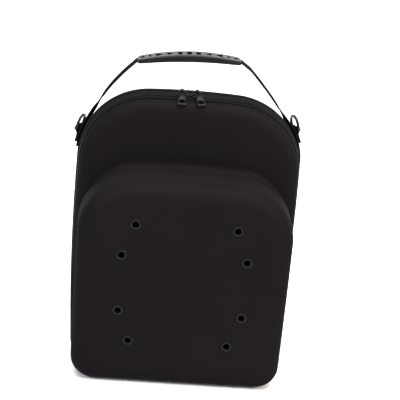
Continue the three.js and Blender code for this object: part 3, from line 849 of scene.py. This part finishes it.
def denseLine(corners, rounding, step):
    # closed line through rounded corners, at even steps
    corners = np.array(corners)
    ends = []
    for other in (np.roll(corners, 1, 0), np.roll(corners, -1, 0)):
        long = np.linalg.norm(other - corners, axis=1)[:, None]
        ends.append(corners + (other - corners) / long * np.minimum(rounding, 0.45 * long))
    t = np.linspace(0, 1, 6)[:, None]
    curve = bezier([line[:, None] for line in (ends[0], corners, ends[1])], t)
    points = np.vstack([curve.reshape(-1, 2), curve[0, 0]])
    far = lengths(points)
    return atLengths(points, far, np.linspace(0, far[-1], math.ceil(far[-1] / step), endpoint=False))


def pullPlate():
    # ring of points between the plate's outline and its window, in x and distance along the pull
    side, window, middle = [np.array(pull[key]) * mm for key in ("side", "window", "middle")]
    outer = denseLine(np.vstack([side, side[::-1] * [-1, 1]]), rounding=1.8 * mm, step=0.5 * mm)
    hole = denseLine(window, rounding=0.9 * mm, step=0.2 * mm)
    angles = bearings(outer, middle)
    inner = middle + radii(hole, middle, angles)[:, None] * joined(np.sin(angles), np.cos(angles))
    way = inner - outer
    bevel = pull["bevel"] / np.linalg.norm(way, axis=1)[:, None]
    # over the outer edge, across the top, down the window and back underneath
    over = [(0, offset, level) for offset, level in pull["rim"]] + [(0.5, 0, 1)]
    over += [(1, -offset, level) for offset, level in pull["rim"][::-1]]
    rows = []
    for share, offset, level in over + [(share, offset, -level) for share, offset, level in over[::-1]]:
        flat = outer + way * (share + offset * bevel)
        rows.append(joined(*flat.T, level * pull["thick"] / 2))
    return np.stack(rows)


def eyeRoll():
    # rolled eye: a rounded section turned round the bridge's axis
    section = roundedRect(pull["neck"], pull["eye"] - pull["hole"], pull["eyeRound"])
    a = np.arange(pull["eyeSides"])[:, None] / pull["eyeSides"] * turn
    r = (pull["eye"] + pull["hole"]) / 2 + section[:, 1]
    return joined(section[:, 0], r * np.sin(a), r * np.cos(a))


for name in ("left", "right"):
    origin = jointPlaces[f"pull_{name}"]
    turns = (sliderTip[name], "Y"), (pull["rest"], "X"), (pull["lean"][name], "Z")
    axes = turnedAxes(*turns) * [[1], [-1], [1]]
    parts = [hoop(placed(grid, origin, axes)) for grid in (pullPlate(), eyeRoll())]
    mesh = meshOf(f"zipPull{name.title()}", parts)
    piece(mesh, metalFinish, [f"zip_pull_{name}"], f"pull_{name}")
print("sliders and pulls made")


# Handle webbing: sewn to the shoulders of the back half, then free up to the grip.
strap = dict(
    inMetres(wide=19, thick=1.6, round=0.7, out=-0.35, tiltTo=296, uprightFrom=322),
    tilt=16 * degrees,  # faces a little backwards where it is sewn
    leftTurns=[87, 80, 73, 66, 59], rightTurns=[87, 78, 69, 60, 51],
    free=[  # x and z on the left, x and z on the right, from the shoulder up
        (-116.5, 297.3, 107.5, 309), (-110.8, 307.8, 100.2, 318.2), (-104.6, 318.4, 92.6, 327.9),
        (-97.5, 328.9, 83.5, 338.6), (-88.8, 339.8, 74.2, 348.9), (-79.3, 350.3, 64.7, 358.8),
        (-73.5, 356, 58.1, 363.8),
    ],
    held=[-60, -52, -40, -28, -14, 0, 14, 28, 40, 52, 60],
    steps=420,
)
grip = dict(
    inMetres(half=60, middle=368.7, sag=4.4, aside=-8.5, above=4.6, below=3.6, thinAbove=2.2, thinBelow=1.2),
    turn=3.3 * degrees, rings=97,
)
strapLow, strapHigh = boxOf("handle_strap")
strapY = (strapLow[1] + strapHigh[1]) / 2
shoulderMiddle, shoulderRadius = arcsOf(caseLine)[1][:2]
gripCos, gripSin = math.cos(grip["turn"]), math.sin(grip["turn"])
gripAxes = [[gripCos, 0, gripSin], [0, 1, 0], [-gripSin, 0, gripCos]]
gripOrigin = np.array([grip["aside"], strapY, grip["middle"]])


def gripLine(x):
    return -grip["sag"] * (x / grip["half"]) ** 2


def onShoulder(turns, side):
    # x and z of the webbing's middle on the shoulder arc
    t = np.array(turns) * degrees
    r = shoulderRadius + strap["out"]
    return joined(side * (shoulderMiddle[0] + r * np.sin(t)), shoulderMiddle[1] + r * np.cos(t))


def spline(points, count):
    # even Catmull-Rom line through the points
    at = np.linspace(0, len(points) - 1, count)
    i = np.minimum(at.astype(int), len(points) - 2)
    t = (at - i)[:, None]
    before, first, last = points[np.maximum(i - 1, 0)], points[i], points[i + 1]
    after = points[np.minimum(i + 2, len(points) - 1)]
    leave, arrive = (last - before) / 2, (after - first) / 2
    cubic = 2 * first - 2 * last + leave + arrive
    square = 3 * last - 3 * first - 2 * leave - arrive
    return cubic * t ** 3 + square * t ** 2 + leave * t + first


def strapPath():
    free = np.array(strap["free"]) * mm
    held = np.array(strap["held"]) * mm
    inGrip = placed(joined(held, 0, gripLine(held)), gripOrigin, gripAxes)[:, ::2]
    left, right = onShoulder(strap["leftTurns"], -1), onShoulder(strap["rightTurns"], 1)
    return spline(np.vstack([left, free[:, :2], inGrip, free[::-1, 2:], right[::-1]]), strap["steps"])


def webStrip(name, spots, side, section):
    # webbing section carried along a line, its width along the given directions
    up = unit(np.cross(np.gradient(spots, axis=0), side))
    return stripTube(name, sweep(spots, side, up, section), lengths(spots), section[:, 0])


def handleStrap():
    path = strapPath()
    heading = unit(np.gradient(path, axis=0))
    tilt = strap["tilt"] * (1 - smooth(strap["tiltTo"], strap["uprightFrom"], path[:, 1]))
    spots = joined(path[:, 0], strapY, path[:, 1])
    side = joined(heading[:, 1] * np.sin(tilt), np.cos(tilt), -heading[:, 0] * np.sin(tilt))
    return webStrip("handleStrap", spots, side, roundedRect(strap["wide"], strap["thick"], strap["round"]))


piece(handleStrap(), webFinish, ["handle_strap"])


# Grip: bowed bar with thinner ends, a parting groove along its sides and windows down to the webbing.
gripLow, gripHigh = boxOf("handle_grip")
gripWide = (gripHigh[1] - gripLow[1]) / 2
windows = [  # middle, half length, half width at the inner end and at the outer end, notch in the outer end
    (0, 2.9, 6.4, 6.4, 0), (10.8, 2.7, 6.6, 5.4, 0), (23.2, 3.8, 1.4, 7.6, 2.4),
    (35.7, 4.3, 1.6, 8.2, 2.2), (45.6, 1.3, 5, 3.6, 0), (54.6, 2.4, 3.8, 3, 0),
]
windowCut = inMetres(round=0.7, step=0.4, below=0.6, above=12)


def endRound(u, start, run, drop):
    # 1 along the grip, falling in a curve from the start of each end
    return np.sqrt(1 - drop * np.clip((np.abs(u) - start) / run, 0, 1) ** 2)


def gripMesh():
    # rounded section in shares of the half width and height, scaled at each place along the grip
    t = np.linspace(0, quarter, 6)
    corner = joined(0.82 + 0.18 * np.cos(t), 0.5 + 0.5 * np.sin(t))
    groove = np.array([(1, -0.3), (1, -0.09), (0.982, 0), (1, 0.09), (1, 0.3)])
    top = joined(np.linspace(0.82, -0.82, 9)[1:-1], 1)
    half = np.vstack([groove, corner, top, corner[::-1] * [-1, 1]])
    section = np.vstack([half, -half])
    u = np.sin(np.linspace(-1, 1, grip["rings"]) * quarter * 0.995)  # closer together at the ends
    u /= u[-1]
    over = grip["above"] - grip["thinAbove"] * u * u
    under = grip["below"] - grip["thinBelow"] * u * u
    wide = gripWide * (1 - 0.06 * u ** 4) * endRound(u, start=0.9, run=0.1, drop=0.35)
    middle = gripLine(u * grip["half"]) + (over - under) / 2
    high = (over + under) / 2 * endRound(u, start=0.97, run=0.03, drop=0.8)
    x = (u * grip["half"])[:, None]
    y = wide[:, None] * section[:, 0]
    z = middle[:, None] + high[:, None] * section[:, 1]
    return meshOf("handleGrip", [tube(placed(joined(x, y, z), gripOrigin, gripAxes))])


def windowParts():
    # shafts from inside the webbing up through the top of the grip
    parts = []
    for middle, halfLong, inner, outer, notch in np.array(windows) * mm:
        near, far = middle - halfLong, middle + halfLong
        corners = [(near, inner), (far, outer), (far - notch, 0), (far, -outer), (near, -inner)]
        x, y = denseLine(corners, windowCut["round"], windowCut["step"]).T
        levels = gripLine(middle) - windowCut["below"], gripLine(middle) + windowCut["above"]
        for side in ([1] if middle == 0 else [-1, 1]):
            grid = np.stack([joined(side * x, y, level) for level in levels])
            parts.append(tube(placed(grid, gripOrigin, gripAxes)))
    return parts


cutOut(piece(gripMesh(), gripFinish, ["handle_grip"]), windowParts())
print("handle made")


# Side rings: plastic rings held in folded webbing tabs that are sewn over the handle's ends.
ring = dict(
    inMetres(bar=3.2, round=1.2, corner=3),
    bow=[(10.9, 5), (10.9, 11.8), (6.5, 15.4), (0, 15.4)],  # draws the right half from the corner up, in mm
)
tab = inMetres(
    wide=18, outer=3.35, tail=16, ply=1.12, round=0.45, backTo=0.8,
    bendOut=0.4, bendDown=1.6, bendTo=6.5, flatFrom=7.5,
)
plies = dict(front=1.56, surface=2.12)  # the front ply's middle and its face, in plies from the back
sewn = dict(
    inMetres(long=2.3, wide=0.55, high=0.4, pitch=3.1, tabFrom=8, tabTo=14.6, tabHalf=7.4, strapHalf=8),
    strapTurns=(9 * degrees, 17 * degrees),  # above the tab, along the shoulder
)
sewing = []


def ringGrid(origin, axes):
    # section carried round a D-shaped line; own axes: along the bar, up from it, through the ring
    right = bezier(np.array(ring["bow"]) * mm, np.linspace(0, 1, 24)[:, None])
    a = np.linspace(-quarter, 0, 8)
    bend = ring["corner"]
    inner = right[0, 0] - bend
    corner = joined(inner + bend * np.cos(a), bend + bend * np.sin(a))
    bar = joined(np.linspace(0, inner, 6)[:-1], 0)
    path = np.vstack([bar, corner, right])
    path = np.vstack([path, path[-2:0:-1] * [-1, 1]])
    heading = unit(np.roll(path, -1, 0) - np.roll(path, 1, 0))
    spots, out = joined(*path.T, 0), joined(heading[:, 1], -heading[:, 0], 0)
    through = np.array([[0, 0, 1]])
    section = roundedRect(ring["bar"], ring["bar"], ring["round"])
    return placed(sweep(spots, out, through, section), origin, axes)


def tabPath():
    # one ply up behind the bar, round it, and down in front; own axes: out from the case, up along it
    inner, outer = -tab["outer"] + tab["ply"] / 2, -tab["outer"] + plies["front"] * tab["ply"]
    a = np.linspace(math.pi, -0.2 * math.pi, 26)
    loop = (tab["outer"] - tab["ply"] / 2) * joined(np.cos(a), np.sin(a))
    back = joined(inner, np.linspace(-tab["tail"], -tab["backTo"], 9))
    bend = [loop[-1], (outer + tab["bendOut"], loop[-1][1] - tab["bendDown"]), (outer, -tab["bendTo"])]
    down = bezier(np.array(bend), np.linspace(0, 1, 10)[1:, None])
    tail = joined(outer, np.linspace(-tab["flatFrom"], -tab["tail"], 7))
    return np.vstack([back, loop, down, tail])


def seam(start, end, surface):
    # stitches along a straight line between two places, in the surface's own length and width
    start, end = np.array(start), np.array(end)
    count = max(2, round(np.hypot(*(end - start)) / sewn["pitch"]))
    t = ((np.arange(count) + 0.5) / count)[:, None]
    at, out = surface(*(start + (end - start) * t).T)
    ahead = unit(surface(*(start + (end - start) * (t + 0.01)).T)[0] - at)
    sewing.append(scattered(capsule(sewn), at, ahead, np.cross(out, ahead), out))


def sewnAxes(angle, side):
    # on the shoulder: out from the tilted webbing, and along its width
    flat = joined(side * np.sin(angle), 0, np.cos(angle))
    back = np.array([0.0, 1.0, 0.0])
    tiltCos, tiltSin = math.cos(strap["tilt"]), math.sin(strap["tilt"])
    return flat * tiltCos + back * tiltSin, back * tiltCos - flat * tiltSin


def sideRing(name, side, tabTurn, ringLean):
    # a ring, its tab and the stitches that hold the tab and the handle's end
    label = name.title()
    joint = jointPlaces[f"ring_{name}"]
    out, wide = sewnAxes(np.array(tabTurn), side)
    upward = np.array([-side * math.cos(tabTurn), 0, math.sin(tabTurn)])
    ringUp = upward * math.cos(ringLean) - out * math.sin(ringLean)
    ringAxes = [wide, ringUp, np.cross(wide, ringUp)]
    mesh = meshOf(f"dRing{label}", [hoop(ringGrid(joint, ringAxes))])
    piece(mesh, ringFinish, [f"d_ring_{name}"], f"ring_{name}")
    spots = joint + tabPath() @ np.array([out, upward])
    section = roundedRect(tab["wide"], tab["ply"], tab["round"])
    tabMesh = webStrip(f"ringTab{label}", spots, wide[None], section)
    piece(tabMesh, webFinish, [f"ring_tab_{name}"])

    # places on the tab and on the handle's end, and the way they face
    def onTab(along, y):
        level = -tab["outer"] + plies["surface"] * tab["ply"]
        place = joint + level * out - np.outer(along, upward) + np.outer(y, wide)
        return place, np.broadcast_to(out, place.shape)

    def onStrap(angle, y):
        flat = onShoulder(angle / degrees, side)
        up, across = sewnAxes(angle, side)
        return joined(flat[:, 0], strapY, flat[:, 1]) + across * y[:, None] + up * strap["thick"] / 2, up

    start, end, half = sewn["tabFrom"], sewn["tabTo"], sewn["tabHalf"]
    for along in (start, end):
        seam((along, -half), (along, half), onTab)
    for y in (-half, half):
        seam((start, y), (end, y), onTab)
    for angle in sewn["strapTurns"]:
        sewnAt = tabTurn - angle
        seam((sewnAt, -sewn["strapHalf"]), (sewnAt, sewn["strapHalf"]), onStrap)


sideRing("left", side=-1, tabTurn=78 * degrees, ringLean=3 * degrees)
sideRing("right", side=1, tabTurn=66 * degrees, ringLean=-10 * degrees)
piece(meshOf("handleStitches", sewing), threadFinish)
print("rings and tabs made")


# Floor, soft light and the camera at the photo's angle.
studio = dict(
    target=(0, 0, 0.160), far=1.400, across=2.781 * degrees, above=21.534 * degrees,
    roll=4.976 * degrees, lens=106.27, sensor=36, shift=(0.04255, 0.1016),
    floor=9.0, worldLight=0.45,
)
corners = [(-1, -1), (1, -1), (1, 1), (-1, 1)]
floorMesh = bpy.data.meshes.new("floor")
floorMesh.from_pydata([(x * studio["floor"], y * studio["floor"], 0) for x, y in corners], [], [(0, 1, 2, 3)])
floorMesh.materials.append(paleFloor().material)
floor = linked("floor", floorMesh)


def softLight(name, place, wide, high, watts, colour=(1, 1, 1), aim=(0, 0, 0.2)):
    light = bpy.data.lights.new(name, "AREA")
    light.shape = "RECTANGLE"
    light.size, light.size_y, light.energy, light.color = wide, high, watts, colour
    thing = linked(name, light)
    thing.location = place
    away = np.subtract(place, aim)
    tip = math.atan2(math.hypot(*away[:2]), away[2])
    thing.rotation_euler = (tip, 0, math.atan2(away[0], -away[1]))
    return thing


lights = [
    softLight("overhead", (0.1, -0.3, 2.3), 2.6, 2.2, 145, aim=(0, -0.1, 0)),
    softLight("behind", (0.2, 3.4, 1.2), 4.0, 2.2, 42, aim=(0, 0, 0.3)),
    softLight("ahead", (0, -2.6, 1.5), 2.0, 1.2, 2),
    softLight("leftBox", (-1.7, -1.1, 1.4), 0.5, 0.5, 26, (0.9, 0.95, 1.0)),
    softLight("rightBox", (1.7, -1.1, 1.4), 0.5, 0.5, 36, (1.0, 0.94, 0.88)),
    softLight("rightSide", (1.6, -0.75, 0.7), 0.4, 1.4, 4, (1.0, 0.92, 0.84)),
]
world = bpy.data.worlds.new("studio")
bpy.context.scene.world = world
world.use_nodes = True
background = world.node_tree.nodes["Background"]
background.inputs["Color"].default_value = (1, 1, 1, 1)
background.inputs["Strength"].default_value = studio["worldLight"]
cameraData = bpy.data.cameras.new("camera")
cameraData.lens, cameraData.sensor_width = studio["lens"], studio["sensor"]
cameraData.shift_x, cameraData.shift_y = studio["shift"]
camera = linked("camera", cameraData)
across, above = studio["across"], studio["above"]
offset = [-math.sin(across) * math.cos(above), -math.cos(across) * math.cos(above), math.sin(above)]
camera.location = np.array(studio["target"]) + studio["far"] * np.array(offset)
camera.rotation_mode = "XYZ"
# roll about the view, then tip down, then turn across
view = rotation((-across, "Z"), (quarter - above, "X"), (studio["roll"], "Z"))
camera.rotation_euler = view.to_euler()
bpy.context.scene.camera = camera
bpy.context.scene.view_settings.view_transform = "Standard"
print("floor, light and camera made")
